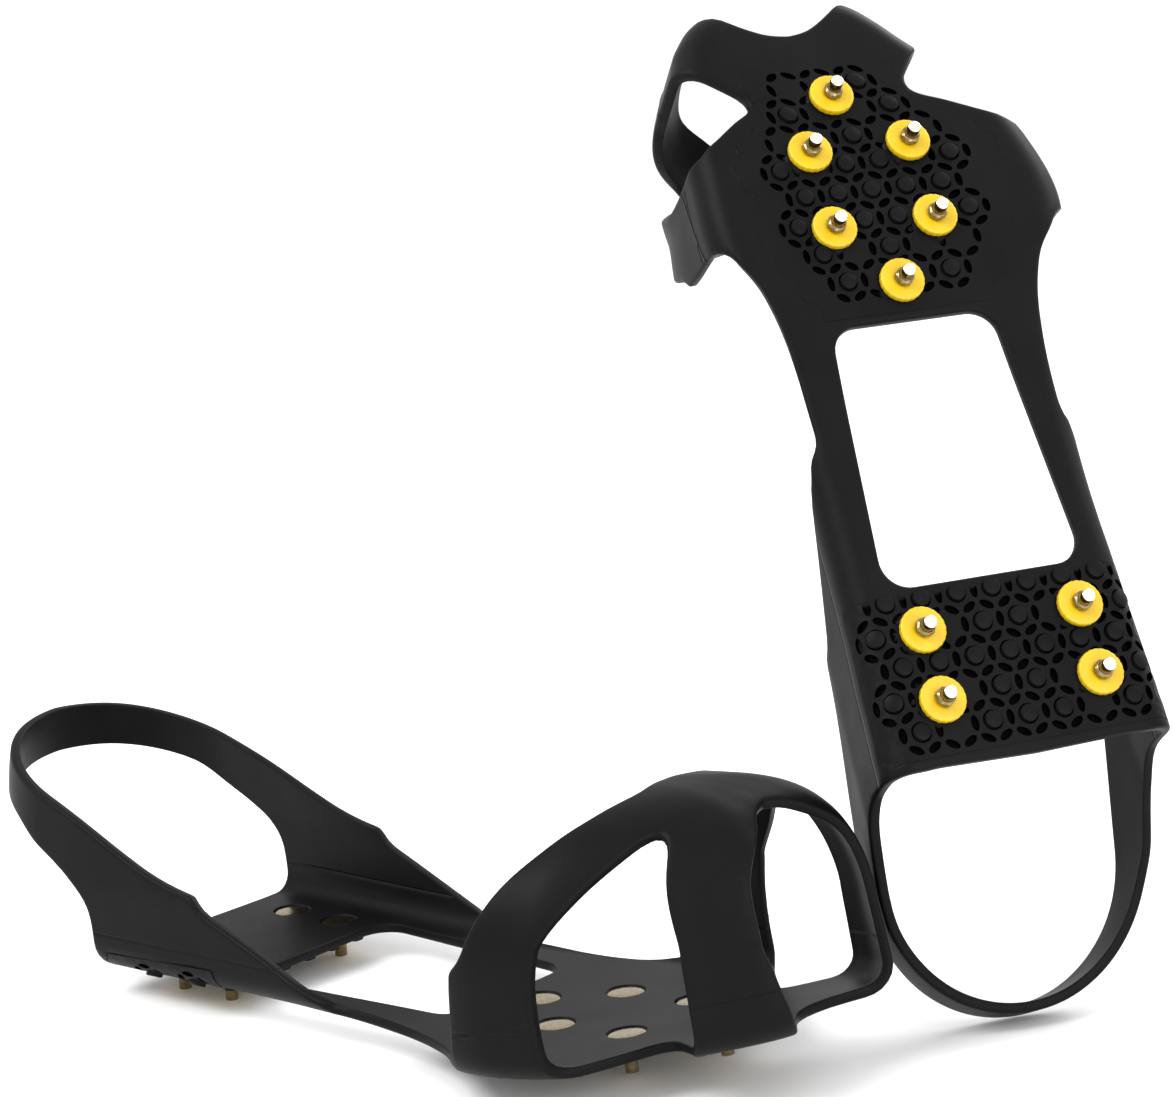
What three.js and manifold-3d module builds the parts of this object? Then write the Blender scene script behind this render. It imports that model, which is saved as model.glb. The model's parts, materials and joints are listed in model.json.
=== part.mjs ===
// A pair of stretch-on ice cleats, shaped as they sit on two shoes: the right one flat on its studs,
// the left one tipped up so that it leans back on its heel strap.
//
// Each cleat is a moulded rubber net with ten steel studs, each through a plastic disc. The net is
// drawn on a last, a plain shoe form that is left out of the result: a pattern says where on the last
// there is rubber, and that area is thickened outwards. The net is cut where it flexes.
//
// Cleat frame, mm: +x to the toe, +y to the wearer's left, +z up, z = 0 on the shoe side of the sole.

import * as THREE from 'three';
import { mergeVertices } from 'three/addons/utils/BufferGeometryUtils.js';
import Module from 'manifold-3d';

const wasm = await Module();
wasm.setup();

// ---------- driving dimensions, mm ----------
const rubberThickness = 3;
const gap = 0.3;                   // kept between neighbouring solids
const cell = 9;                    // size of the net's facets
const minimumSliver = 0.3;         // corners nearer than this to a cut count as on it
const mergeTolerance = 1e-4;

// last
const toeAxis = 85;                // the toe's sections fan out around this x
const heelAxis = -124;             // and the heel's around this one
const heelRadius = 40;
const soleEdgeRadius = 6;
const springStart = 32.5;          // the sole curves up in front of this x
const springRadius = 431;
const toeWall = 23;                // height of the upright wall around the toe
const heelWall = 85;
const toeHeight = 63;              // height of the toe box over its axis
const instepRise = 0.45;           // slope that the ridge takes on behind the toe axis
const instepStart = 8;             // length over which it does so
const domePower = 2.5;
const heelLean = 0.13;             // how much the heel wall leans in per mm of height
const swayStart = 80;              // the toe sways sideways in front of this x
const swayLength = 50;

// pattern
const windowFront = 25.5;
const windowRear = -52;
const windowHalfFront = 25;
const windowHalfRear = 29.5;
const windowCorner = 8;
const crotchBlend = 8;             // rounding where two bands meet
const saddle = [107, 0, 60];       // middle of the crossing on top of the toe

// where the net is cut
const railFront = 15;
const railRear = -42;
const toeStrapRoot = 11;           // height of the cut above the sole
const heelSideRoot = 9;
const heelStrapStart = -112;
const saddleReach = 20;

// studs
const postRadius = 1.8;
const postClearance = 0.3;
const flangeRadius = 5.4;
const flangeTop = -0.2;
const flangeBottom = -1;
const discRadius = 6.5;
const discTop = -3.3;
const discBottom = -5.4;
const collarRadius = 2.7;
const collarBottom = -7.4;
const tipRadius = 1.9;
const tipBottom = -11.4;
const forefootStuds = [[98.5, 0], [80.4, 15.2], [80.4, -15.2], [55.3, 15.5], [55.3, -15.5], [36.8, 0]];
const heelStuds = [[-65, 23.5], [-65, -23.5], [-85, 23.5], [-85, -23.5]];
const studSides = 8;
const discSides = 12;
const seatX = 28.5;                // middle of the forefoot seat, the pair's origin

// what the two shoes make different
const rightToeSway = 11;
const leftToeSway = -8;
const outerBall = 4;               // the ball of the foot is this much fuller on its outer side
const ballX = 62;
const ballLength = 65;
const ballHalfWidth = 50;

// how the left cleat stands beside the right one
const standYaw = -29;
const standPitch = 120.7;
const standRoll = -3.8;
const standPosition = [115, 91.5];

// ---------- materials ----------
const rubber = new THREE.MeshStandardMaterial({ color: 0x222225, roughness: 0.62, metalness: 0 });
const steel = new THREE.MeshStandardMaterial({ color: 0xc9c7c0, roughness: 0.25, metalness: 1 });
const plastic = new THREE.MeshStandardMaterial({ color: 0xf2cf0a, roughness: 0.4, metalness: 0 });

// ---------- small tools ----------
const quarter = Math.PI / 2;
const radians = (degrees) => degrees * Math.PI / 180;

// A smooth curve y(x) through a few knots, with x rising.
function through(knots) {
  const slope = (i) => {
    const low = knots[Math.max(i - 1, 0)];
    const high = knots[Math.min(i + 1, knots.length - 1)];
    return (high[1] - low[1]) / (high[0] - low[0]);
  };
  return (x) => {
    let i = 0;
    while (i < knots.length - 2 && x > knots[i + 1][0]) i++;
    const width = knots[i + 1][0] - knots[i][0];
    const t = THREE.MathUtils.clamp((x - knots[i][0]) / width, 0, 1);
    const a = 2 * t ** 3 - 3 * t ** 2 + 1;
    const b = t ** 3 - 2 * t ** 2 + t;
    const c = t ** 3 - t ** 2;
    return a * knots[i][1] + (1 - a) * knots[i + 1][1] + width * (b * slope(i) + c * slope(i + 1));
  };
}

// The larger of two fields, with the corner between them filled in over a width.
function join(first, second, width) {
  const overlap = Math.max(width - Math.abs(first - second), 0) / width;
  return Math.max(first, second) + overlap ** 2 * width / 4;
}

// Distance from a point to the edge of a polygon, positive inside it.
function insidePolygon(outline, x, y) {
  let nearest = Infinity;
  let inside = false;
  outline.forEach(([ax, ay], i) => {
    const [bx, by] = outline[(i + 1) % outline.length];
    const length = (bx - ax) ** 2 + (by - ay) ** 2;
    const t = THREE.MathUtils.clamp(((x - ax) * (bx - ax) + (y - ay) * (by - ay)) / length, 0, 1);
    nearest = Math.min(nearest, Math.hypot(x - ax - t * (bx - ax), y - ay - t * (by - ay)));
    if ((ay > y) !== (by > y) && x < (bx - ax) * (y - ay) / (by - ay) + ax) inside = !inside;
  });
  return inside ? nearest : -nearest;
}

// ---------- the last ----------
const halfWidth = through([[-130, 40], [-104, 40], [-60, 38.5], [-20, 38], [15, 41], [35, 47], [50, 51],
  [65, 52], [85, 49]]);
const toeReach = through([[0, 50.5], [12, 51.5], [23, 53.3], [35, 50.5], [45, 47.7], [60, 46.1],
  [74, 46.4], [90, 49]]);        // from the toe axis, by angle off the x axis in degrees

// One section of the last: where its plane starts, which way it runs and how far its edge is.
function sectionTowards(x, y) {
  if (x > toeAxis) {
    const angle = Math.atan2(y, x - toeAxis);
    const reach = toeReach(angle / radians(1));
    return { axis: toeAxis, cos: Math.cos(angle), sin: Math.sin(angle), reach };
  }
  if (x < heelAxis) {
    const angle = Math.atan2(y, x - heelAxis);
    return { axis: heelAxis, cos: Math.cos(angle), sin: Math.sin(angle), reach: heelRadius };
  }
  return { axis: x, cos: 0, sin: 1, reach: halfWidth(x) };
}

function sections() {
  const list = [];
  const toeCells = 9;
  const heelCells = 8;
  for (let i = 0; i < toeCells; i++) {
    const angle = quarter * i / toeCells;
    list.push(sectionTowards(toeAxis + Math.cos(angle), Math.sin(angle)));
  }
  const stretches = [[toeAxis, springStart], [springStart, heelAxis]];
  for (const [from, to] of stretches) {
    const cells = Math.round((from - to) / cell);
    for (let i = 0; i < cells; i++) list.push(sectionTowards(from + (to - from) * i / cells, 1));
  }
  for (let i = 0; i <= heelCells; i++) {
    const angle = quarter * (1 + i / heelCells);
    list.push({ axis: heelAxis, cos: Math.cos(angle), sin: Math.sin(angle), reach: heelRadius });
  }
  return list;
}

// Height of the ridge that runs along the top of the toe and instep.
function ridgeHeight(axis) {
  const behind = Math.max(0, toeAxis - axis);
  return toeHeight + instepRise * behind ** 2 / (behind + instepStart);
}

// The outline of a section from the middle of the sole, around the edge, up the wall and over the top.
// Each point has its distance out, its height and its distance along the surface.
function sectionOutline({ axis, reach }) {
  const atToe = axis > 0;
  const wall = atToe ? toeWall : heelWall;
  const height = atToe ? ridgeHeight(axis) : heelWall + 15;
  const flat = reach - soleEdgeRadius;
  const outline = [];
  const soleCells = 5;
  const edgeCells = 2;
  const wallCells = atToe ? 2 : 8;
  const domeCells = atToe ? 8 : 2;
  for (let i = 0; i <= soleCells; i++) outline.push({ out: flat * i / soleCells, up: 0 });
  for (let i = 1; i <= edgeCells; i++) {
    const angle = quarter * i / edgeCells;
    outline.push({
      out: flat + soleEdgeRadius * Math.sin(angle),
      up: soleEdgeRadius * (1 - Math.cos(angle)),
    });
  }
  for (let i = 1; i <= wallCells; i++) {
    const up = soleEdgeRadius + (wall - soleEdgeRadius) * i / wallCells;
    outline.push({ out: reach - (atToe ? 0 : heelLean * Math.max(0, up - toeWall)), up });
  }
  for (let i = 1; i <= domeCells; i++) {
    const angle = quarter * i / domeCells;
    const top = outline[soleCells + edgeCells + wallCells].out;
    outline.push({
      out: top * Math.max(Math.cos(angle), 0) ** (2 / domePower),
      up: wall + (height - wall) * Math.sin(angle) ** (2 / domePower),
    });
  }
  let along = 0;
  outline.forEach((point, i) => {
    if (i > 0) along += Math.hypot(point.out - outline[i - 1].out, point.up - outline[i - 1].up);
    point.along = along;
  });
  return outline;
}

// Puts a hand-placed point onto the dome or wall of the toe, keeping its section and height.
function onToe(x, y, height) {
  const section = sectionTowards(x, Math.abs(y));
  const rise = THREE.MathUtils.clamp((height - toeWall) / (ridgeHeight(section.axis) - toeWall), 0, 1);
  const out = section.reach * (1 - rise ** domePower) ** (1 / domePower);
  return new THREE.Vector3(section.axis + out * section.cos, out * section.sin, height);
}

// ---------- the pattern ----------
// Half outline of the sole plates and rails. Past the edge of the sole it runs up the wall.
const plateOutline = [[122.7, -10], [122.7, 0], [124.5, 8], [129, 15.5], [133.5, 21.5], [143, 31],
  [131, 48], [119.5, 34], [108, 27], [103, 24.8], [98, 25.8], [94, 33], [88, 43], [82.5, 50], [81, 76],
  [60, 76], [57.5, 54], [47.5, 46.5], [38, 41.8], [22, 38], [1.5, 36.3], [-51, 36], [-62, 40], [-62, 60], [-102, 60],
  [-103.5, -10]];

const windowOutline = [[windowFront, windowHalfFront], [windowRear, windowHalfRear],
  [windowRear, -windowHalfRear], [windowFront, -windowHalfFront]]
  .map(([x, y]) => [x - Math.sign(x) * windowCorner, y - Math.sign(y) * windowCorner]);

// Half outline of the heel's side and strap, by distance around the heel from its back and by height.
const heelOutline = [[175, -5], [175, 0], [158, 8], [133, 18.5], [101, 31], [75, 42], [48, 51.5], [24, 58],
  [0, 60.5], [-20, 60], [-20, 46], [0, 46.5], [24, 44.5], [48, 38], [60, 31], [70, 25.5], [78, 20],
  [85, 13], [89, 0], [89, -5]];

// A band drawn around a smooth line over the last, with its half width at each of the line's points.
function band(points, halfWidths) {
  const steps = 24;
  const line = new THREE.CatmullRomCurve3(points, false, 'centripetal').getPoints(steps);
  const width = (i) => {
    const place = i / steps * (halfWidths.length - 1);
    const from = Math.min(Math.floor(place), halfWidths.length - 2);
    return THREE.MathUtils.lerp(halfWidths[from], halfWidths[from + 1], place - from);
  };
  const nearest = new THREE.Vector3();
  return (position) => {
    let best = -Infinity;
    for (let i = 0; i < steps; i++) {
      const piece = new THREE.Line3(line[i], line[i + 1]);
      const t = piece.closestPointToPointParameter(position, true);
      piece.at(t, nearest);
      best = Math.max(best, THREE.MathUtils.lerp(width(i), width(i + 1), t) - nearest.distanceTo(position));
    }
    return best;
  };
}

const saddlePoint = new THREE.Vector3(...saddle);
const ballStrap = band(
  [new THREE.Vector3(70, 36, 0), new THREE.Vector3(70, 50, 2), onToe(71, 51, 22), onToe(77.5, 48, 38),
    onToe(88, 39, 50), onToe(96, 28, 56.5), saddlePoint],
  [11.5, 11.5, 11, 9.5, 9, 9, 10],
);
const toeStrap = band(
  [new THREE.Vector3(115, 20, 0), new THREE.Vector3(121, 28, 2), onToe(122.5, 29.4, 23),
    onToe(123.5, 29.4, 40), onToe(118, 19, 52), saddlePoint],
  [10, 10, 10, 10.5, 11, 10],
);
const saddleRadius = 14;

// The rubber field on a point of the last's left half, positive where there is rubber.
function rubberField(point, section) {
  const { position, along } = point;
  const flatX = section.axis + along * section.cos;
  const flatY = along * section.sin;
  let field = insidePolygon(plateOutline, flatX, flatY);
  if (section.axis > 0) {
    const straps = join(ballStrap(position), toeStrap(position), crotchBlend);
    const spot = saddleRadius - position.distanceTo(saddlePoint);
    field = join(field, join(straps, spot, crotchBlend), crotchBlend);
  } else {
    const around = section.axis > heelAxis
      ? heelRadius * quarter + section.axis - heelAxis
      : heelRadius * Math.atan2(section.sin, -section.cos);
    const edge = section.reach - soleEdgeRadius + soleEdgeRadius * quarter / 2;
    field = join(field, insidePolygon(heelOutline, around, along - edge), crotchBlend);
  }
  const window = insidePolygon(windowOutline, flatX, flatY) + windowCorner;
  return Math.min(field, -window);
}

// ---------- cutting pieces out of the last ----------
const halfGap = gap / 2;

// The last as cells of four corners. Each corner knows its place, normal, rubber field and side.
function lastCells() {
  const list = sections();
  const rows = list.map((section) => sectionOutline(section).map((point) => {
    point.position = new THREE.Vector3(
      section.axis + point.out * section.cos, point.out * section.sin, point.up);
    point.field = rubberField(point, section);
    return point;
  }));
  const cells = [];
  for (let i = 0; i < rows.length - 1; i++) {
    for (let j = 0; j < rows[i].length - 1; j++) {
      cells.push([rows[i][j], rows[i + 1][j], rows[i + 1][j + 1], rows[i][j + 1]]);
    }
  }
  addNormals(cells);
  return cells;
}

const placeKey = ({ x, y, z }) => [x, y, z].map((value) => Math.round(value * 1e4)).join();

// Gives every corner the average normal of the cells around it, with the right half mirrored on.
function addNormals(cells) {
  const sums = new Map();
  for (const corners of cells) {
    const [a, b, c, d] = corners.map((corner) => corner.position);
    const normal = new THREE.Vector3().subVectors(c, a).cross(new THREE.Vector3().subVectors(d, b));
    normal.normalize();
    for (const corner of corners) {
      const key = placeKey(corner.position);
      const sum = sums.get(key) ?? sums.set(key, new THREE.Vector3()).get(key);
      sum.add(normal);
      if (Math.abs(corner.position.y) < 1e-6) sum.y = 0;
    }
  }
  for (const corners of cells) {
    for (const corner of corners) corner.normal = sums.get(placeKey(corner.position)).clone().normalize();
  }
}

// Keeps the part of a polygon of corners where a function of the corner is positive.
function clip(corners, value) {
  const kept = [];
  const level = corners.map((corner) => {
    const exact = value(corner);
    return Math.abs(exact) < minimumSliver ? -minimumSliver : exact;
  });
  corners.forEach((corner, i) => {
    const next = (i + 1) % corners.length;
    if (level[i] > 0) kept.push(corner);
    if ((level[i] > 0) !== (level[next] > 0)) {
      const t = level[i] / (level[i] - level[next]);
      kept.push({
        position: corner.position.clone().lerp(corners[next].position, t),
        normal: corner.normal.clone().lerp(corners[next].normal, t).normalize(),
        field: THREE.MathUtils.lerp(corner.field, corners[next].field, t),
      });
    }
  });
  return kept;
}

const mirrored = (corners) => corners.map((corner) => ({
  position: corner.position.clone().multiply(new THREE.Vector3(1, -1, 1)),
  normal: corner.normal.clone().multiply(new THREE.Vector3(1, -1, 1)),
  field: corner.field,
})).reverse();

// Pushes the rubber to the outer side at the ball of the foot, sways the toe to the inner side and curves
// the front of the sole up.
function shapeToShoe(position, toeSway) {
  const { x, y, z } = position;
  const nearBall = Math.cos(quarter * THREE.MathUtils.clamp((x - ballX) / ballLength, -1, 1)) ** 2;
  const pushed = y - Math.sign(toeSway) * outerBall * nearBall * (y / ballHalfWidth) ** 2;
  const swayed = pushed + toeSway * THREE.MathUtils.smoothstep(x, swayStart, swayStart + swayLength);
  if (x <= springStart) return new THREE.Vector3(x, swayed, z);
  const angle = (x - springStart) / springRadius;
  const radius = springRadius - z;
  return new THREE.Vector3(
    springStart + radius * Math.sin(angle), swayed, springRadius - radius * Math.cos(angle));
}

// Thickens the kept area of the last's cells outwards into one closed solid.
function rubberPiece(cells, limits, toeSway) {
  const corners = [];
  const keys = new Map();
  const number = (corner) => {
    const key = placeKey(corner.position);
    if (!keys.has(key)) {
      keys.set(key, corners.length);
      corners.push(corner);
    }
    return keys.get(key);
  };
  const triangles = [];
  for (const cellCorners of cells) {
    let kept = clip(cellCorners, ({ field }) => field);
    for (const limit of limits) kept = clip(kept, (corner) => limit(corner.position) - halfGap);
    const ring = kept.map(number).filter((index, i, all) => index !== all[(i + 1) % all.length]);
    for (let i = 1; i < ring.length - 1; i++) triangles.push([ring[0], ring[i], ring[i + 1]]);
  }
  const edges = new Set(triangles.flatMap(([a, b, c]) => [`${a},${b}`, `${b},${c}`, `${c},${a}`]));
  const count = corners.length;
  const index = [];
  for (const [a, b, c] of triangles) index.push(a, b, c, count + a, count + c, count + b);
  for (const edge of edges) {
    const [a, b] = edge.split(',').map(Number);
    if (!edges.has(`${b},${a}`)) index.push(b, a, count + a, b, count + a, count + b);
  }
  const outer = corners.map(
    ({ position, normal }) => position.clone().addScaledVector(normal, rubberThickness));
  const inner = corners.map(({ position }) => position);
  const places = [...outer, ...inner].map((position) => shapeToShoe(position, toeSway));
  const geometry = new THREE.BufferGeometry().setFromPoints(places);
  geometry.setIndex(index);
  return geometry;
}

// ---------- booleans ----------
function solid(geometry) {
  const bare = geometry.clone();
  bare.deleteAttribute('normal');
  bare.deleteAttribute('uv');
  const merged = mergeVertices(bare.index ? bare : mergeVertices(bare), mergeTolerance);
  return new wasm.Manifold(new wasm.Mesh({
    numProp: 3,
    vertProperties: new Float32Array(merged.attributes.position.array),
    triVerts: new Uint32Array(merged.index.array),
  }));
}

function geometryOf(manifold) {
  const mesh = manifold.getMesh();
  const geometry = new THREE.BufferGeometry();
  geometry.setAttribute('position', new THREE.BufferAttribute(mesh.vertProperties, 3));
  geometry.setIndex(new THREE.BufferAttribute(mesh.triVerts, 1));
  return geometry;
}

// ---------- studs ----------
// Where a stud stands on the sole: its axis follows the curve of the sole.
function studPlace([x, y], toeSway) {
  const position = shapeToShoe(new THREE.Vector3(x, y, 0), toeSway);
  const tilt = Math.max(0, x - springStart) / springRadius;
  const rotation = new THREE.Euler(0, -tilt, 0);
  return new THREE.Matrix4().compose(
    position, new THREE.Quaternion().setFromEuler(rotation), new THREE.Vector3(1, 1, 1));
}

function turned(profile, sides) {
  const lathe = new THREE.LatheGeometry(profile.map(([r, z]) => new THREE.Vector2(r, z)), sides);
  return lathe.rotateX(quarter);
}

const studGeometry = turned([[0, tipBottom], [tipRadius, tipBottom], [tipRadius, collarBottom],
  [collarRadius, collarBottom], [collarRadius, discBottom - gap], [postRadius, discBottom - gap],
  [postRadius, flangeBottom], [flangeRadius, flangeBottom], [flangeRadius, flangeTop],
  [0, flangeTop]], studSides);

const holeRadius = postRadius + postClearance;
const discGeometry = turned([[holeRadius, discBottom], [discRadius, discBottom], [discRadius, discTop],
  [holeRadius, discTop], [holeRadius, discBottom]], discSides);

// The room that a stud takes in the rubber: a hole for its post and a recess for its flange.
const recessRadius = flangeRadius + gap;
const studRoom = turned([[0, -2 * rubberThickness], [holeRadius, -2 * rubberThickness],
  [holeRadius, flangeBottom - gap], [recessRadius, flangeBottom - gap], [recessRadius, 1],
  [0, 1]], studSides);

function withStudHoles(geometry, places) {
  let body = solid(geometry);
  for (const place of places) body = body.subtract(solid(studRoom.clone().applyMatrix4(place)));
  return geometryOf(body);
}

// ---------- one cleat ----------
function cleat(side, toeSway) {
  const half = lastCells();
  const both = [...half, ...half.map(mirrored)];
  const group = new THREE.Group();
  const add = (name, geometry, material) => {
    const mesh = new THREE.Mesh(geometry, material);
    mesh.name = `${side}_${name}`;
    group.add(mesh);
    return mesh;
  };

  const inFrontOf = (x) => (position) => position.x - x;
  const behind = (x) => (position) => x - position.x;
  const above = (z) => (position) => position.z - z;
  const below = (z) => (position) => z - position.z;
  const saddleDistance = (position) => saddlePoint.distanceTo(position);

  const forefootPlaces = forefootStuds.map((stud) => studPlace(stud, toeSway));
  const heelPlaces = heelStuds.map((stud) => studPlace(stud, toeSway));
  const forefoot = rubberPiece(both, [inFrontOf(railFront), below(toeStrapRoot)], toeSway);
  const heel = rubberPiece(both, [behind(railRear), below(heelSideRoot)], toeSway);
  add('forefoot_sole', withStudHoles(forefoot, forefootPlaces), rubber);
  add('heel_sole', withStudHoles(heel, heelPlaces), rubber);

  const wearersLeft = { cells: half, name: side === 'right' ? 'inner' : 'outer' };
  const wearersRight = { cells: half.map(mirrored), name: side === 'right' ? 'outer' : 'inner' };
  for (const { cells, name } of [wearersLeft, wearersRight]) {
    const rail = [behind(railFront), inFrontOf(railRear), below(heelSideRoot)];
    const toeStraps = [above(toeStrapRoot), inFrontOf(springStart), (p) => saddleDistance(p) - saddleReach];
    const heelSide = [above(heelSideRoot), behind(springStart), inFrontOf(heelStrapStart)];
    add(`${name}_rail`, rubberPiece(cells, rail, toeSway), rubber);
    add(`${name}_toe_straps`, rubberPiece(cells, toeStraps, toeSway), rubber);
    add(`${name}_heel_side`, rubberPiece(cells, heelSide, toeSway), rubber);
  }
  const onTop = [above(toeStrapRoot), (p) => saddleReach - saddleDistance(p)];
  add('toe_saddle', rubberPiece(both, onTop, toeSway), rubber);
  add('heel_strap', rubberPiece(both, [above(heelSideRoot), behind(heelStrapStart)], toeSway), rubber);

  [...forefootPlaces, ...heelPlaces].forEach((place, i) => {
    const kinds = [['stud', studGeometry, steel], ['disc', discGeometry, plastic]];
    for (const [name, geometry, material] of kinds) {
      const mesh = add(`${name}_${i + 1}`, geometry, material);
      place.decompose(mesh.position, mesh.quaternion, mesh.scale);
    }
  });
  return group;
}

// ---------- the pair ----------
const rightCleat = cleat('right', rightToeSway);
const leftCleat = cleat('left', leftToeSway);
leftCleat.rotation.set(radians(standRoll), -radians(standPitch), radians(standYaw), 'ZYX');
leftCleat.position.set(...standPosition, 0);
leftCleat.position.z = tipBottom - new THREE.Box3().setFromObject(leftCleat, true).min.z;

const pair = new THREE.Group();
pair.add(rightCleat, leftCleat);
pair.position.x = -seatX;

export default pair;
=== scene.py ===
import json
import math

import bpy
import numpy as np
from mathutils import Euler, Matrix, Vector, noise


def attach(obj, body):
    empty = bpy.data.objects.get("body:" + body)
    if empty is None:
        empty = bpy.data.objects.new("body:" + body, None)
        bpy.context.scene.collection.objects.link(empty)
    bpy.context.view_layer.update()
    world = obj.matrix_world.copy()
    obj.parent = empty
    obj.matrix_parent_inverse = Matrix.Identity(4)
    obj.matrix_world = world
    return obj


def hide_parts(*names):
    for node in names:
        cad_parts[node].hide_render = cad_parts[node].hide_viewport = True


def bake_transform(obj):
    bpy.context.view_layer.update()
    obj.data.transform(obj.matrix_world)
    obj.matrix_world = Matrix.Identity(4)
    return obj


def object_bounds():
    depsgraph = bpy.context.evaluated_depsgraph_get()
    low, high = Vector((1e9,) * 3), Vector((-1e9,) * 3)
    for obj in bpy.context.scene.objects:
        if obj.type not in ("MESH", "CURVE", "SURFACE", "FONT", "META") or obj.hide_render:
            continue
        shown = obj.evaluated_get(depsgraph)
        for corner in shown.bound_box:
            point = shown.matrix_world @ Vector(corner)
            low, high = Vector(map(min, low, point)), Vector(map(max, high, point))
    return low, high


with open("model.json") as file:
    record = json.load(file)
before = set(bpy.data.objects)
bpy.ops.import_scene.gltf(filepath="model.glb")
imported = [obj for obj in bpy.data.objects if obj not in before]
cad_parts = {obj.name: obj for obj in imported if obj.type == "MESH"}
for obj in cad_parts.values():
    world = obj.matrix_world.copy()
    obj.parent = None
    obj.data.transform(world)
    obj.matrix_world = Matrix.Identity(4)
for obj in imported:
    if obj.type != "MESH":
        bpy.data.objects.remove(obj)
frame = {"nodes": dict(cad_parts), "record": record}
cad_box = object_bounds()

# The looks of a pair of stretch-on ice cleats. Each cleat's rubber net is drawn again on its last, the
# plain shoe form that it is stretched over, much finer than in the CAD model and with rounded edges.
# It is one moulding, so it is made as one skin and then parted where the bodies meet, with no gaps.
#
# Shapes are worked out in millimetres in a cleat's own frame: +x to the toe, +y to the wearer's left,
# +z up, z = 0 on the shoe side of the sole. A cleat's matrix takes them into the row frame, in metres.

MM = 0.001
QUARTER = math.pi / 2

# ---------- driving dimensions, mm ----------
THICKNESS = 3
CELL = 1.8                    # size of the skin's facets
OUTER_ROUND = 1.1             # rounding of the outer edges
INNER_ROUND = 0.35            # and of the edges on the shoe side
ROUND_LEVELS = (0.1, 0.4, 0.75)

TOE_AXIS = 85                 # the toe's sections fan out around this x
HEEL_AXIS = -124              # and the heel's around this one
HEEL_RADIUS = 40
SOLE_EDGE_RADIUS = 6
SPRING_START = 32.5           # the sole curves up in front of this x
SPRING_RADIUS = 431
TOE_WALL = 23
HEEL_WALL = 85
HEEL_DOME = 15                # the last ends this far over the heel's wall, above all rubber
TOE_HEIGHT = 63
INSTEP_RISE = 0.45
INSTEP_START = 8
DOME_POWER = 2.5
HEEL_LEAN = 0.13
SWAY_START = 80
SWAY_LENGTH = 50
OUTER_BALL = 4                # the ball of the foot is this much fuller on its outer side
BALL_X = 62
BALL_LENGTH = 65
BALL_HALF_WIDTH = 50

WINDOW_FRONT = 25.5
WINDOW_REAR = -52
WINDOW_HALF_FRONT = 25
WINDOW_HALF_REAR = 29.5
WINDOW_CORNER = 8
CROTCH = 8
SADDLE = Vector((107, 0, 60))
SADDLE_RADIUS = 14

TOE_STRAP_ROOT = 11           # height above the sole where the strap pieces start
HEEL_SIDE_ROOT = 9

FOREFOOT_SEAT = 28.5          # x of the seat under the ball, which places a cleat

DISC_MIDDLE = -4.35           # height of a disc's middle
STUD_REACH = 10               # what is farther than this from a disc's middle isn't under its stud
SEAT_RADIUS = 6.1             # raised seat under a disc
SEAT_HEIGHT = 0.28
SEAT_SLOPE = 0.3              # width of the slope around it
FLANGE_ROOM = 5.65            # recess for a stud's flange
FLANGE_DEPTH = 1.25
FLANGE_SLOPE = 0.1
STUD_TURN = 2.4               # each stud is turned by this many radians more than the last one
TIP_SIDE = -11.1              # the painted highlight brightens the steel from here to the tip's flat end
TIP_END = -11.3
TREAD_PITCH = 10.5            # the tread's grid has rows across the sole, with this between knobs
TREAD_ROW = 9.2               # and this between rows
TREAD_STRETCH = TREAD_ROW / (TREAD_PITCH * math.sqrt(3) / 2)
TILE_TOP = 0.04               # height of the tread's tiles over the smooth sole around them
PIT_DEPTH = 1.15
TREAD_FOOT = -PIT_DEPTH - 0.15     # the tiles and knobs are rooted in the rubber under the pits
PIT_HALF_LENGTH = 2.2
PIT_HALF_WIDTH = 1.1
KNOB_RADIUS = 2.45
KNOB_TOP = 1.1
MOAT_RADIUS = 2.8             # the hole that a knob stands in
TILE_BEVEL = 0.12             # width of the bevel on a tile's edges
TILE_BEVEL_DEPTH = 0.14
PLUG_RADIUS = 3.1             # where a tile has no knob, a plug fills its hole
PLUG_TOP = 0.05
DISC_ROOM = 9.2               # a knob nearer than this to a stud would be under its disc
SUNK_INSET = 0.8              # the sole is sunk this far inside the edge of the tiles
SUNK_SLOPE = 0.3              # width of the wall around what is sunk
SUNK_FROM_FLANGE = 1.3        # it keeps this far from the recesses of the flanges
SUNK_UP_TO = 4                # and ends at this height on the sole's rounded edge
FLASH_HALF = 0.16             # the thin line that the mould's parting leaves across the toe's straps
FLASH_HEIGHT = 0.17
PARTING_X = 70                # the parting is a plane through this x and height, with this slope
PARTING_HEIGHT = 12
PARTING_SLOPE = 0.2
PARTING_START = 45            # and leaves a line in front of this x only

RIPPLE_FADE = 4               # the rubber's unevenness grows over this far from its edges and the sole
SNAP = 0.05                   # a point this close to a line that the skin is split along lies on it
FAR = 1e3                     # stands for a distance that never counts


# ---------- small tools ----------
def through(knots):
    """A smooth curve y(x) through a few knots, with x rising."""
    xs, ys = np.array(knots, float).T
    last = len(xs) - 1
    low = np.maximum(np.arange(last + 1) - 1, 0)
    high = np.minimum(np.arange(last + 1) + 1, last)
    slopes = (ys[high] - ys[low]) / (xs[high] - xs[low])

    def value(x):
        x = np.clip(x, xs[0], xs[-1])
        i = np.clip(np.searchsorted(xs, x, side="right") - 1, 0, last - 1)
        width = xs[i + 1] - xs[i]
        t = (x - xs[i]) / width
        a = 2 * t ** 3 - 3 * t ** 2 + 1
        b = t ** 3 - 2 * t ** 2 + t
        c = t ** 3 - t ** 2
        return a * ys[i] + (1 - a) * ys[i + 1] + width * (b * slopes[i] + c * slopes[i + 1])

    return value


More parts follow.
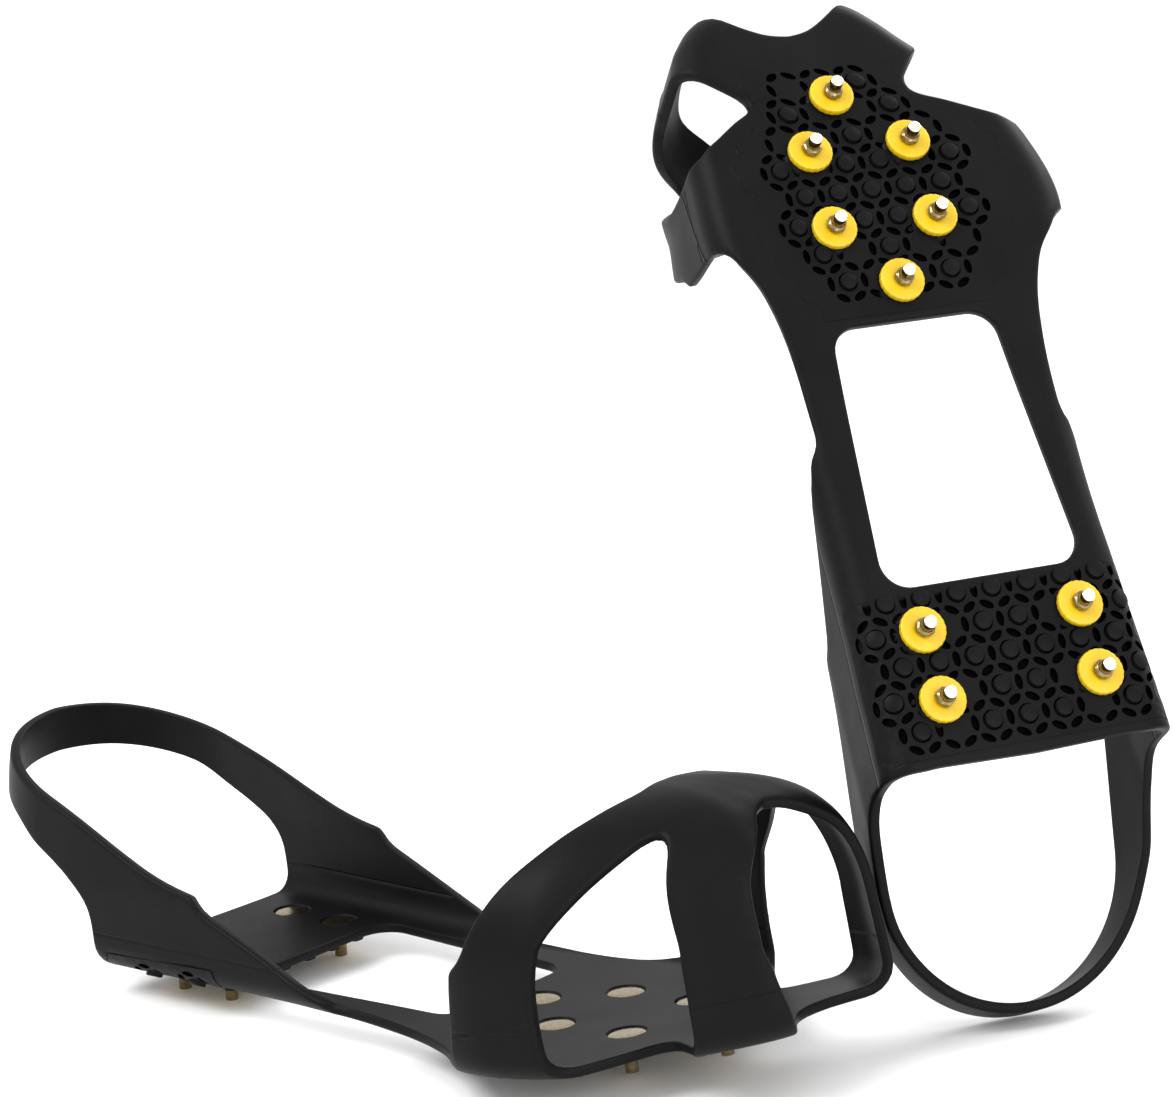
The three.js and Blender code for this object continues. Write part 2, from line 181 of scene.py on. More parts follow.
def smooth_line(points, steps=6):
    """A smooth line through points, as an array of closer points."""
    points = np.array(points, float)
    lengths = np.linalg.norm(np.diff(points, axis=0), axis=1)
    along = np.concatenate([[0], np.cumsum(np.sqrt(lengths))])
    places = np.interp(np.arange((len(points) - 1) * steps + 1) / steps, np.arange(len(points)), along)
    return np.stack([through(list(zip(along, axis)))(places) for axis in points.T], axis=1)


def join(first, second, width):
    """The larger of two fields, with the corner between them filled in over a width."""
    overlap = np.maximum(width - np.abs(first - second), 0) / width
    return np.maximum(first, second) + overlap ** 2 * width / 4


def to_segments(points, starts, ends):
    """For each point its distance to each segment, and how far along the segment the nearest spot is."""
    along = ends - starts
    offset = points[:, None] - starts[None]
    t = np.clip((offset * along).sum(2) / (along ** 2).sum(1), 0, 1)
    return np.linalg.norm(offset - t[:, :, None] * along, axis=2), t


def inside_polygon(outline, points):
    """Distance from each point to the edge of a polygon, positive inside it."""
    starts = np.array(outline, float)
    ends = np.roll(starts, -1, axis=0)
    nearest = to_segments(points, starts, ends)[0].min(1)
    x, y = points[:, 0, None], points[:, 1, None]
    rise = np.where(ends[:, 1] == starts[:, 1], 1, ends[:, 1] - starts[:, 1])
    crossing = (ends[:, 0] - starts[:, 0]) * (y - starts[:, 1]) / rise + starts[:, 0]
    passed = ((starts[:, 1] > y) != (ends[:, 1] > y)) & (x < crossing)
    return np.where(passed.sum(1) % 2 == 1, nearest, -nearest)


# ---------- the last ----------
half_width = through([(-130, 40), (-104, 40), (-60, 38.5), (-20, 38), (15, 41), (35, 47), (50, 51),
                      (65, 52), (85, 49)])
toe_reach = through([(0, 50.5), (12, 51.5), (23, 53.3), (35, 50.5), (45, 47.7), (60, 46.1),
                     (74, 46.4), (90, 49)])     # from the toe axis, by angle off the x axis in degrees


def sections():
    """The last's sections from the toe tip to the back of the heel: axis, direction and reach of each."""
    toe = np.linspace(0, QUARTER, round(50 * QUARTER / CELL), endpoint=False)
    straight = np.linspace(TOE_AXIS, HEEL_AXIS, round((TOE_AXIS - HEEL_AXIS) / CELL), endpoint=False)
    heel = np.linspace(QUARTER, 2 * QUARTER, round(HEEL_RADIUS * QUARTER / CELL) + 1)
    axis = np.concatenate([np.full(len(toe), TOE_AXIS), straight, np.full(len(heel), HEEL_AXIS)])
    angle = np.concatenate([toe, np.full(len(straight), QUARTER), heel])
    round_heel = np.full(len(heel), HEEL_RADIUS)
    reach = np.concatenate([toe_reach(np.degrees(toe)), half_width(straight), round_heel])
    return axis, np.cos(angle), np.sin(angle), reach


def ridge_height(axis):
    behind = np.maximum(TOE_AXIS - axis, 0)
    return TOE_HEIGHT + INSTEP_RISE * behind ** 2 / (behind + INSTEP_START)


def section_outline(axis, reach):
    """Distance out and height of a section's points, from the middle of the sole up and over the top."""
    at_toe = axis > 0
    wall = TOE_WALL if at_toe else HEEL_WALL
    height = ridge_height(axis) if at_toe else HEEL_WALL + HEEL_DOME
    flat = reach - SOLE_EDGE_RADIUS
    turn = np.linspace(0, QUARTER, 7)
    sole = np.linspace(0, flat, 25)[:-1]
    climb = np.linspace(SOLE_EDGE_RADIUS, wall, 15 if at_toe else 46)[1:]
    lean = 0 if at_toe else HEEL_LEAN * np.maximum(0, climb - TOE_WALL)
    dome = np.linspace(0, QUARTER, 43 if at_toe else 12)[1:]
    top = reach - (0 if at_toe else HEEL_LEAN * (HEEL_WALL - TOE_WALL))
    out = [sole, flat + SOLE_EDGE_RADIUS * np.sin(turn), reach - lean + 0 * climb,
           top * np.maximum(np.cos(dome), 0) ** (2 / DOME_POWER)]
    up = [0 * sole, SOLE_EDGE_RADIUS * (1 - np.cos(turn)), climb,
          wall + (height - wall) * np.sin(dome) ** (2 / DOME_POWER)]
    return np.concatenate(out), np.concatenate(up)


def on_toe(x, y, height):
    """A given point, put onto the dome or wall of the toe at its height."""
    if x > TOE_AXIS:
        angle = math.atan2(y, x - TOE_AXIS)
        axis, reach = TOE_AXIS, float(toe_reach(math.degrees(angle)))
    else:
        axis, angle, reach = x, QUARTER, float(half_width(x))
    rise = (height - TOE_WALL) / (float(ridge_height(axis)) - TOE_WALL)
    out = reach * (1 - min(max(rise, 0), 1) ** DOME_POWER) ** (1 / DOME_POWER)
    return (axis + out * math.cos(angle), out * math.sin(angle), height)


# ---------- the pattern ----------
def plate_outline():
    """Half outline of the sole plates and rails. Past the edge of the sole it runs up the wall."""
    front = smooth_line([(122.7, -10), (122.7, 0), (124.5, 8), (129, 15.5), (133.5, 21.5), (143, 31)])
    notch = smooth_line([(131, 48), (119.5, 34), (108, 27), (103, 24.8), (98, 25.8), (94, 33), (88, 43),
                         (82.5, 50), (81, 76)])
    rail = smooth_line([(60, 76), (57.5, 54), (47.5, 46.5), (38, 41.8), (22, 38), (1.5, 36.3), (-25, 35.8),
                        (-51, 36), (-62, 40)])
    rear = smooth_line([(-102.5, 30), (-103.5, -10)])
    return np.concatenate([front, notch, rail, [(-62, 60), (-102, 60)], rear])


def window_outline():
    corners = [(WINDOW_FRONT, WINDOW_HALF_FRONT), (WINDOW_REAR, WINDOW_HALF_REAR),
               (WINDOW_REAR, -WINDOW_HALF_REAR), (WINDOW_FRONT, -WINDOW_HALF_FRONT)]
    return [(x - math.copysign(WINDOW_CORNER, x), y - math.copysign(WINDOW_CORNER, y)) for x, y in corners]


def heel_outline():
    """Half outline of the heel's side and strap, by distance around the heel from its back and by height."""
    upper = smooth_line([(175, 0), (158, 8), (133, 18.5), (101, 31), (75, 42), (48, 51.5), (24, 58),
                         (0, 60.5), (-20, 60)])
    lower = smooth_line([(-20, 46), (0, 46.5), (24, 44.5), (48, 38), (60, 31), (70, 25.5), (78, 20), (85, 13),
                         (89, 0)])
    return np.concatenate([[(175, -5)], upper, lower, [(89, -5)]])


def band(points, half_widths):
    """A band drawn around a smooth line over the last, as a field of points on it."""
    line = smooth_line(points)
    widths = np.interp(np.linspace(0, len(half_widths) - 1, len(line)), range(len(half_widths)), half_widths)

    def field(positions):
        far, t = to_segments(positions, line[:-1], line[1:])
        return (widths[:-1] + t * np.diff(widths) - far).max(1)

    return field


ball_strap = band(
    [(70, 36, 0), (70, 50, 2), on_toe(71, 51, 22), on_toe(77.5, 48, 38), on_toe(88, 39, 50),
     on_toe(96, 28, 56.5), tuple(SADDLE)],
    (11.5, 11.5, 11, 9.5, 9, 9, 10),
)
toe_strap = band(
    [(115, 20, 0), (121, 28, 2), on_toe(122.5, 29.4, 23), on_toe(123.5, 29.4, 40), on_toe(118, 19, 52),
     tuple(SADDLE)],
    (10, 10, 10, 10.5, 11, 10),
)


def rubber_field(positions, section, along):
    """How far each point of the last's left half is inside the rubber, negative where there is none."""
    axis, cos, sin, reach = section
    flat = np.stack([axis + along * cos, along * sin], axis=1)
    field = inside_polygon(plate_outline(), flat)
    straps = join(ball_strap(positions), toe_strap(positions), CROTCH)
    spot = SADDLE_RADIUS - np.linalg.norm(positions - np.array(SADDLE), axis=1)
    toe = join(field, join(straps, spot, CROTCH), CROTCH)
    around = np.where(axis > HEEL_AXIS, HEEL_RADIUS * QUARTER + axis - HEEL_AXIS,
                      HEEL_RADIUS * np.arctan2(sin, -cos))
    edge = reach - SOLE_EDGE_RADIUS + SOLE_EDGE_RADIUS * QUARTER / 2
    heel_side = inside_polygon(heel_outline(), np.stack([around, along - edge], axis=1))
    field = np.where(axis > 0, toe, join(field, heel_side, CROTCH))
    window = inside_polygon(window_outline(), flat) + WINDOW_CORNER
    return np.minimum(field, -window)


def in_forefoot_oval(x, y):
    """Whether a grid point has a knob of the forefoot."""
    return ((x - 70) / 39.5) ** 2 + (y / 29) ** 2 < 1


def in_heel_field(x, y):
    """Whether a grid point has a knob of the heel."""
    return -97 < x < -50 and abs(y) < 37


# Each field of tread: the x of a row of knobs, which grid points have a knob, the lowest and highest x
# of the tiles, and how far they go to the sides, by x.
TREAD_FIELDS = ((66.5, in_forefoot_oval, 28, 111, ((84, 94), (40, 23.5))),
                (-74.2, in_heel_field, -100, -54, ((-100, -54), (45, 45))))
TILE_ROOM = 5                 # a tile centred farther than this past those limits is left out


# ---------- the skin ----------
class Skin:
    """Triangles with a position, an outward normal and the rubber field at each point."""

    def __init__(self, points, triangles):
        self.points = points            # columns: x, y, z, normal x, y, z, field
        self.triangles = triangles

    position = property(lambda self: self.points[:, 0:3])
    normal = property(lambda self: self.points[:, 3:6])
    field = property(lambda self: self.points[:, 6])

    def split(self, values, nearest=0.02):
        """Cuts the triangles along the line where a value is 0, and returns the values at all points."""
        values = np.where(np.abs(values) < nearest, np.where(values < 0, -nearest, nearest), values)
        above = values[self.triangles] > 0
        count = above.sum(1)
        whole = self.triangles[(count == 0) | (count == 3)]
        cut = (count == 1) | (count == 2)
        lone = np.where(count == 1, above.argmax(1), (~above).argmax(1))[cut]
        rows = np.arange(cut.sum())
        a, b, c = (self.triangles[cut][rows, (lone + k) % 3] for k in range(3))
        pairs = np.sort(np.concatenate([np.stack([a, b], 1), np.stack([a, c], 1)]), axis=1)
        edges, number = np.unique(pairs, axis=0, return_inverse=True)
        number = number.reshape(-1)
        low, high = values[edges[:, 0]], values[edges[:, 1]]
        t = (low / (low - high))[:, None]
        made = self.points[edges[:, 0]] * (1 - t) + self.points[edges[:, 1]] * t
        first = len(self.points)
        ab, ac = first + number[:len(a)], first + number[len(a):]
        pieces = [whole, np.stack([a, ab, ac], 1), np.stack([ab, b, c], 1), np.stack([ab, c, ac], 1)]
        self.points = np.concatenate([self.points, made])
        self.triangles = np.concatenate(pieces)
        return np.concatenate([values, np.zeros(len(made))])

    def keep(self, triangles):
        """The skin with only those of its triangles for which the mask is true."""
        used, number = np.unique(self.triangles[triangles], return_inverse=True)
        return Skin(self.points[used], number.reshape(-1, 3))


def last_skin():
    """The whole last as a skin, both halves, before any rubber is cut from it."""
    axis, cos, sin, reach = sections()
    outlines = [section_outline(a, r) for a, r in zip(axis, reach)]
    out = np.array([o for o, _ in outlines])
    up = np.array([u for _, u in outlines])
    grid = np.stack([axis[:, None] + out * cos[:, None], out * sin[:, None], up], axis=2)
    steps = np.hypot(np.diff(out, axis=1), np.diff(up, axis=1))
    along = np.concatenate([np.zeros((len(axis), 1)), np.cumsum(steps, axis=1)], axis=1)

    normal = np.cross(np.gradient(grid, axis=0), np.gradient(grid, axis=1))
    normal[:, 0] = (0, 0, -1)
    normal[:, -1] = (0, 0, 1)
    flat_ends = np.zeros(len(axis), bool)
    flat_ends[[0, -1]] = True
    normal[flat_ends, :, 1] = 0
    normal /= np.linalg.norm(normal, axis=2)[:, :, None]

    rows, columns = along.shape
    section = [np.repeat(v, columns) for v in (axis, cos, sin, reach)]
    field = rubber_field(grid.reshape(-1, 3), section, along.reshape(-1))
    points = np.concatenate([grid.reshape(-1, 3), normal.reshape(-1, 3), field[:, None]], axis=1)
    corner = (np.arange(rows - 1)[:, None] * columns + np.arange(columns - 1)).reshape(-1)
    quads = np.stack([corner, corner + columns, corner + columns + 1, corner + 1], axis=1)
    triangles = np.concatenate([quads[:, [0, 1, 2]], quads[:, [0, 2, 3]]])
    other = points * (1, -1, 1, 1, -1, 1, 1)
    both = Skin(np.concatenate([points, other]),
                np.concatenate([triangles, triangles[:, ::-1] + len(points)]))
    return welded(both)


def welded(skin):
    """The skin with points in the same place made one, and without triangles that have no area."""
    rounded = np.round(skin.position, 4) + 0.0
    _, first, number = np.unique(rounded, axis=0, return_index=True, return_inverse=True)
    triangles = number.reshape(-1)[skin.triangles]
    real = ((triangles[:, 0] != triangles[:, 1]) & (triangles[:, 1] != triangles[:, 2])
            & (triangles[:, 2] != triangles[:, 0]))
    return Skin(skin.points[first], triangles[real])


def shape_to_shoe(points, toe_sway):
    """Pushes the ball of the foot to the outer side, sways the toe inwards and curves the front up."""
    x, y, z = points.T
    near_ball = np.cos(QUARTER * np.clip((x - BALL_X) / BALL_LENGTH, -1, 1)) ** 2
    y = y - math.copysign(OUTER_BALL, toe_sway) * near_ball * (y / BALL_HALF_WIDTH) ** 2
    t = np.clip((x - SWAY_START) / SWAY_LENGTH, 0, 1)
    y = y + toe_sway * t * t * (3 - 2 * t)
    angle = np.maximum(x - SPRING_START, 0) / SPRING_RADIUS
    radius = SPRING_RADIUS - z
    bent = angle > 0
    return np.stack([np.where(bent, SPRING_START + radius * np.sin(angle), x), y,
                     np.where(bent, SPRING_RADIUS - radius * np.cos(angle), z)], axis=1)


def from_studs(positions, studs):
    """Distance of each point from the nearest stud's axis, far away from it where it isn't near the sole."""
    nearest = np.full(len(positions), FAR)
    for middle, axis in studs:
        offset = positions - middle
        height = offset @ axis
        far = np.linalg.norm(offset - height[:, None] * axis, axis=1)
        nearest = np.minimum(nearest, np.where(np.abs(height) < STUD_REACH, far, FAR))
    return nearest


def ripple(point):
    """A slow unevenness of the moulded rubber, in mm."""
    return 0.28 * noise.noise(Vector(point) / 26) + 0.07 * noise.noise(Vector(point) / 7)


def from_parting(positions):
    """Height of each point over the mould's parting, a plane that rises towards the toe."""
    x, _, z = positions.T
    return np.where(x > PARTING_START, z - PARTING_HEIGHT - PARTING_SLOPE * (x - PARTING_X), FAR)


def along_sole(positions):
    """The x of points on the last, and their distance along the sole's outer face from its middle."""
    x, y, z = positions.T
    straight = half_width(np.minimum(x, TOE_AXIS)) - SOLE_EDGE_RADIUS
    angle = np.arctan2(np.maximum(np.abs(y) - straight, 0), SOLE_EDGE_RADIUS - z)
    past = (SOLE_EDGE_RADIUS + THICKNESS) * np.clip(angle, 0, QUARTER)
    return x, np.sign(y) * (np.minimum(np.abs(y), straight) + past)


def sunk(positions, toe_sway, studs):
    """How far each point is inside the sunk parts of the sole, which the tread's tiles stand in."""
    far = from_studs(shape_to_shoe(positions, toe_sway), studs)
    inside = np.minimum(in_fields(*along_sole(positions)) - SUNK_INSET, far - FLANGE_ROOM - SUNK_FROM_FLANGE)
    return np.where(positions[:, 2] < SUNK_UP_TO, inside, -FAR)


def rubber_skin(toe_sway, studs):
    """The rubber's area of the last, with points along each level of its rounded edges."""
    skin = last_skin()
    values = skin.split(skin.field)
    skin = skin.keep((values[skin.triangles] >= 0).all(1))
    for level in ROUND_LEVELS:
        skin.split(skin.field - level * OUTER_ROUND)
    skin.split(skin.position[:, 2] - np.where(skin.position[:, 0] > 0, TOE_STRAP_ROOT, HEEL_SIDE_ROOT))
    for slope in (0, SUNK_SLOPE):
        skin.split(sunk(skin.position, toe_sway, studs) - slope)
    for edge in (-2, -1, 1, 2):
        skin.split(from_parting(skin.position) - edge * FLASH_HALF)
    for radius in (FLANGE_ROOM, FLANGE_ROOM + FLANGE_SLOPE, SEAT_RADIUS, SEAT_RADIUS + SEAT_SLOPE):
        bent = shape_to_shoe(skin.position, toe_sway)
        skin.split(from_studs(bent, studs) - radius)
    return skin


def solid_of(skin, toe_sway, studs):
    """Thickens a skin into a closed solid: its points and triangles, and which are cuts or floors of pits,
    the floors getting painted shade.
    """
    field = np.maximum(skin.field, 0)
    corner = np.maximum(OUTER_ROUND - field, 0)
    outer = THICKNESS - OUTER_ROUND + np.sqrt(OUTER_ROUND ** 2 - corner ** 2)
    corner = np.maximum(INNER_ROUND - field, 0)
    inner = INNER_ROUND - np.sqrt(INNER_ROUND ** 2 - corner ** 2)
    uneven = np.array([ripple(p) for p in skin.position]) * np.clip(skin.field / RIPPLE_FADE, 0, 1)
    bent = shape_to_shoe(skin.position, toe_sway)
    far = from_studs(bent, studs)
    on_wall = np.clip(skin.position[:, 2] / RIPPLE_FADE, 0, 1)
    depth = PIT_DEPTH * np.clip(sunk(skin.position, toe_sway, studs) / SUNK_SLOPE, 0, 1)
    outer = outer - depth
    flash = np.abs(from_parting(skin.position)) < FLASH_HALF + SNAP
    outer = outer + uneven * on_wall + SEAT_HEIGHT * (far < SEAT_RADIUS + SNAP) + FLASH_HEIGHT * flash
    inner = inner + uneven * on_wall + FLANGE_DEPTH * (far < FLANGE_ROOM + SNAP)
    points = np.concatenate([shape_to_shoe(skin.position + skin.normal * h[:, None], toe_sway)
                             for h in (outer, inner)])
    count = len(skin.points)
    top = skin.triangles
    bottom = top[:, ::-1] + count
    edges = np.concatenate([top[:, [0, 1]], top[:, [1, 2]], top[:, [2, 0]]])
    key = edges[:, 0] * count + edges[:, 1]
    back = edges[:, 1] * count + edges[:, 0]
    border = edges[~np.isin(key, back)]
    a, b = border.T
    sides = np.concatenate([np.stack([b, a, a + count], 1), np.stack([b, a + count, b + count], 1)])
    is_cut = np.tile((skin.field[border] > SNAP).all(1), 2)
    triangles = np.concatenate([top, bottom, sides])
    cuts = np.concatenate([np.zeros(2 * len(top), bool), is_cut])
    # the floors of the tread's pits get painted shade: the rubber's darker, less glossy copy
    floor_in_painted_shade = (depth[top] > 0.9 * PIT_DEPTH).all(1)
    in_painted_shade = np.concatenate([floor_in_painted_shade, np.zeros(len(triangles) - len(top), bool)])
    return points, triangles, cuts, in_painted_shade


# ---------- making objects ----------
def new_object(name, points, faces, matrix, materials, cuts=None, in_painted_shade=None):
    """A smooth mesh object from points in a cleat's frame.

    Cut faces are shaded flat, and the floors and walls of the tread's pits have the second material: painted
    shade, a darker and less glossy copy of the rubber.
    """
    mesh = bpy.data.meshes.new(name)
    placed = np.asarray(points, float) @ np.array(matrix.to_3x3()).T * MM + np.array(matrix.translation)
    mesh.from_pydata(placed.tolist(), [], faces)
    for material in materials:
        mesh.materials.append(material)
    mesh.shade_smooth()
    if cuts is not None:
        mesh.polygons.foreach_set("use_smooth", ~cuts)
    if in_painted_shade is not None:
        mesh.polygons.foreach_set("material_index", np.array(in_painted_shade, int))
    mesh.validate()
    made = bpy.data.objects.new(name, mesh)
    bpy.context.scene.collection.objects.link(made)
    return made


def cleat_matrix(seat, heel_seat):
    """A cleat's frame in the row frame, from its two flat seats."""
    front, back = Vector(seat["pos_m"]), Vector(heel_seat["pos_m"])
    z = Vector(seat["axis"]).normalized()
    x = (front - back).normalized()
    origin = front - x * FOREFOOT_SEAT * MM
    matrix = Matrix((x, z.cross(x), z)).transposed().to_4x4()
    matrix.translation = origin
    return matrix


def stud_place(node, matrix):
    """Middle and axis of a stud in its cleat's frame, from its disc in the frame."""
    points = np.array([v.co for v in frame["nodes"][node].data.vertices])
    middle = points.mean(0)
    axis = np.linalg.eigh(np.cov((points - middle).T))[1][:, 0]
    turn = np.array(matrix.to_3x3())
    axis = axis @ turn
    axis *= math.copysign(1, axis[2])
    return (middle - np.array(matrix.translation)) @ turn / MM, axis


# ---------- materials ----------
def material(name):
    made = bpy.data.materials.new(name)
    made.use_nodes = True
    nodes = made.node_tree.nodes
    shader = nodes["Principled BSDF"]

    def add(kind, **values):
        node = nodes.new(kind)
        for key, value in values.items():
            setattr(node, key, value)
        return node

    return made, add, made.node_tree.links.new, shader


def textured(add, link, texture, scale, detail=3):
    place = add("ShaderNodeTexCoord")
    node = add(texture)
    node.inputs["Scale"].default_value = scale
    if "Detail" in node.inputs:
        node.inputs["Detail"].default_value = detail
    link(place.outputs["Object"], node.inputs["Vector"])
    return node


def remap(add, link, source, low, high):
    node = add("ShaderNodeMapRange")
    node.inputs["To Min"].default_value = low
    node.inputs["To Max"].default_value = high
    link(source, node.inputs["Value"])
    return node.outputs["Result"]


def bump(add, link, source, strength, distance, after=None):
    node = add("ShaderNodeBump")
    node.inputs["Strength"].default_value = strength
    node.inputs["Distance"].default_value = distance
    link(source, node.inputs["Height"])
    if after:
        link(after.outputs["Normal"], node.inputs["Normal"])
    return node


def two_colours(add, link, source, dark, light):
    node = add("ShaderNodeValToRGB")
    node.color_ramp.elements[0].position = 0.3
    node.color_ramp.elements[0].color = (*dark, 1)
    node.color_ramp.elements[1].position = 0.7
    node.color_ramp.elements[1].color = (*light, 1)
    link(source, node.inputs["Fac"])
    return node.outputs["Color"]


def rubber_material(name, brightness):
    """Black rubber. Brightness scales its colour and its gloss; a low brightness gives the copy that is
    painted shade on the floors and walls of the tread's pits.
    """
    made, add, link, shader = material(name)
    clouds = textured(add, link, "ShaderNodeTexNoise", 45)
    grain = textured(add, link, "ShaderNodeTexNoise", 2600, 2)
    dark = np.array((0.003, 0.003, 0.0035)) * brightness
    light = np.array((0.0046, 0.0046, 0.0053)) * brightness
    link(two_colours(add, link, clouds.outputs["Fac"], dark, light), shader.inputs["Base Color"])
    shader.inputs["Specular IOR Level"].default_value = 0.085 * brightness
    link(remap(add, link, clouds.outputs["Fac"], 0.4, 0.52), shader.inputs["Roughness"])
    slow = bump(add, link, clouds.outputs["Fac"], 0.12, 0.0006)
    fine = bump(add, link, grain.outputs["Fac"], 0.18, 0.00006, slow)
    link(fine.outputs["Normal"], shader.inputs["Normal"])
    return made


def plastic_material():
    made, add, link, shader = material("moulded_yellow_plastic")
    clouds = textured(add, link, "ShaderNodeTexNoise", 160)
    grain = textured(add, link, "ShaderNodeTexNoise", 1500, 2)
    colour = two_colours(add, link, clouds.outputs["Fac"], (0.58, 0.37, 0.002), (0.66, 0.43, 0.004))
    link(colour, shader.inputs["Base Color"])
    link(remap(add, link, clouds.outputs["Fac"], 0.3, 0.42), shader.inputs["Roughness"])
    link(bump(add, link, grain.outputs["Fac"], 0.15, 0.0001).outputs["Normal"], shader.inputs["Normal"])
    return made


def steel_material():
    """Steel with a brassy plating, and a painted highlight on the flat end of the tip."""
    made, add, link, shader = material("turned_steel")
    rings = textured(add, link, "ShaderNodeTexNoise", 900, 2)
    worn = two_colours(add, link, rings.outputs["Fac"], (0.17, 0.13, 0.065), (0.34, 0.27, 0.15))
    place = add("ShaderNodeTexCoord")
    height = add("ShaderNodeSeparateXYZ")
    link(place.outputs["Object"], height.inputs["Vector"])
    # painted highlight: the steel turns pale towards the tip's flat end
    tip = add("ShaderNodeMapRange")
    tip.inputs["From Min"].default_value = TIP_SIDE * MM
    tip.inputs["From Max"].default_value = TIP_END * MM
    link(height.outputs["Z"], tip.inputs["Value"])
    painted_highlight = add("ShaderNodeMix", data_type="RGBA")
    painted_highlight.inputs["B"].default_value = (0.86, 0.83, 0.76, 1)
    link(tip.outputs["Result"], painted_highlight.inputs["Factor"])
    link(worn, painted_highlight.inputs["A"])
    link(painted_highlight.outputs["Result"], shader.inputs["Base Color"])
    shader.inputs["Metallic"].default_value = 1
    link(remap(add, link, rings.outputs["Fac"], 0.14, 0.3), shader.inputs["Roughness"])
    link(bump(add, link, rings.outputs["Fac"], 0.1, 0.00008).outputs["Normal"], shader.inputs["Normal"])
    return made


# the second rubber is the first at 0.15 of its brightness: painted shade for the floors and walls of the
# tread's pits
RUBBER_AND_PAINTED_SHADE = rubber_material("moulded_rubber", 1), rubber_material("moulded_rubber_painted_shade", 0.15)
PLASTIC = plastic_material()
STEEL = steel_material()


# ---------- studs and discs ----------
def lathe(profile, sides, waver=lambda angle, radius: radius):
    """Points and faces of a closed profile of (radius, height) points turned about the z axis."""
    rings = []
    points = []
    for radius, height in profile:
        if rings and (radius, height) == profile[0]:
            rings.append(rings[0])
            continue
        if radius < 1e-6:
            rings.append([len(points)] * sides)
            points.append((0, 0, height))
            continue
        rings.append(list(range(len(points), len(points) + sides)))
        for i in range(sides):
            angle = 4 * QUARTER * i / sides
            r = waver(angle, radius)
            points.append((r * math.cos(angle), r * math.sin(angle), height))
    faces = []
    for low, high in zip(rings, rings[1:]):
        for i in range(sides):
            k = (i + 1) % sides
            face = [low[i], low[k], high[k], high[i]]
            faces.append([p for n, p in enumerate(face) if p != face[n - 1]])
    return points, faces


def stud_shape():
    """A riveted stud: tip, collar with six worn corners, post and a domed flange on the shoe side."""
    tip = [(0, -11.35), (1.55, -11.4), (1.78, -11.32), (1.9, -11.1), (1.9, -8.1), (1.98, -7.75), (2.2, -7.5)]
    collar = [(2.5, -7.4), (2.66, -7.2), (2.7, -6.9), (2.7, -6.0), (2.6, -5.72), (2.3, -5.45)]
    post = [(1.8, -5.4), (1.8, -1.25), (2.1, -1.0)]
    flange = [(5.1, -1.0), (5.35, -0.9), (5.4, -0.7), (5.3, -0.45), (4.6, -0.25), (2.5, -0.2), (0, -0.2)]

    def six_cornered(angle, radius):
        return radius * (1 + 0.045 * math.cos(6 * angle)) if 2.4 < radius < 2.8 else radius

    return lathe(tip + collar + post + flange, 36, six_cornered)


def disc_shape():
    """A disc with a finely notched, slightly rounded rim and a shallow dish around the hole."""
    profile = [(2.1, -5.1), (2.5, -5.25), (3.1, -5.3), (5.6, -5.4), (6.1, -5.36), (6.4, -5.18), (6.5, -4.95),
               (6.5, -3.6), (6.4, -3.38), (6.1, -3.3), (2.1, -3.3), (2.1, -5.1)]

    def notched(angle, radius):
        return radius - (0.14 * max(0, math.cos(22 * angle)) ** 3 if radius > 6.05 else 0)

    return lathe(profile, 132, notched)


def shared_mesh(name, shape, material, sharp_degrees):
    points, faces = shape
    mesh = bpy.data.meshes.new(name)
    mesh.from_pydata((np.array(points) * MM).tolist(), [], faces)
    mesh.materials.append(material)
    mesh.shade_smooth()
    mesh.set_sharp_from_angle(angle=math.radians(sharp_degrees))
    mesh.validate()
    return mesh


STUD_MESH = shared_mesh("stud", stud_shape(), STEEL, 50)
DISC_MESH = shared_mesh("disc", disc_shape(), PLASTIC, 50)


def place_stud(side, number, body, place, matrix):
    """The detailed stud and disc of one place, turned a little further than the last one."""
    middle, axis = place
    upright = Vector((0, 0, 1)).rotation_difference(Vector(axis)).to_matrix().to_4x4()
    origin = Vector(middle) - Vector(axis) * DISC_MIDDLE
    local = Matrix.Translation(origin * MM) @ upright @ Matrix.Rotation(STUD_TURN * number, 4, "Z")
    for kind, mesh, slot in (("stud", STUD_MESH, "stud_steel"), ("disc", DISC_MESH, "disc_plastic")):
        piece = bpy.data.objects.new(f"{side}_turned_{kind}_{number}", mesh)
        bpy.context.scene.collection.objects.link(piece)
        piece.matrix_world = matrix @ local
        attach(piece, body)
        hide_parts(f"{side}_{kind}_{number}")


# ---------- tread ----------
SIDE_ANGLES = [QUARTER / 3 * (1 + 2 * side) for side in range(6)]     # from a tile's middle to each side


def ring_solid(rings):
    """Points and faces of a closed ring whose section runs through the given rings and back to the first."""
    count = len(rings[0])
    points = np.concatenate(rings)
    faces = []
    for n in range(len(rings)):
        low, high = n * count, (n + 1) % len(rings) * count
        faces += [[low + i, low + (i + 1) % count, high + (i + 1) % count, high + i] for i in range(count)]
    return points, faces


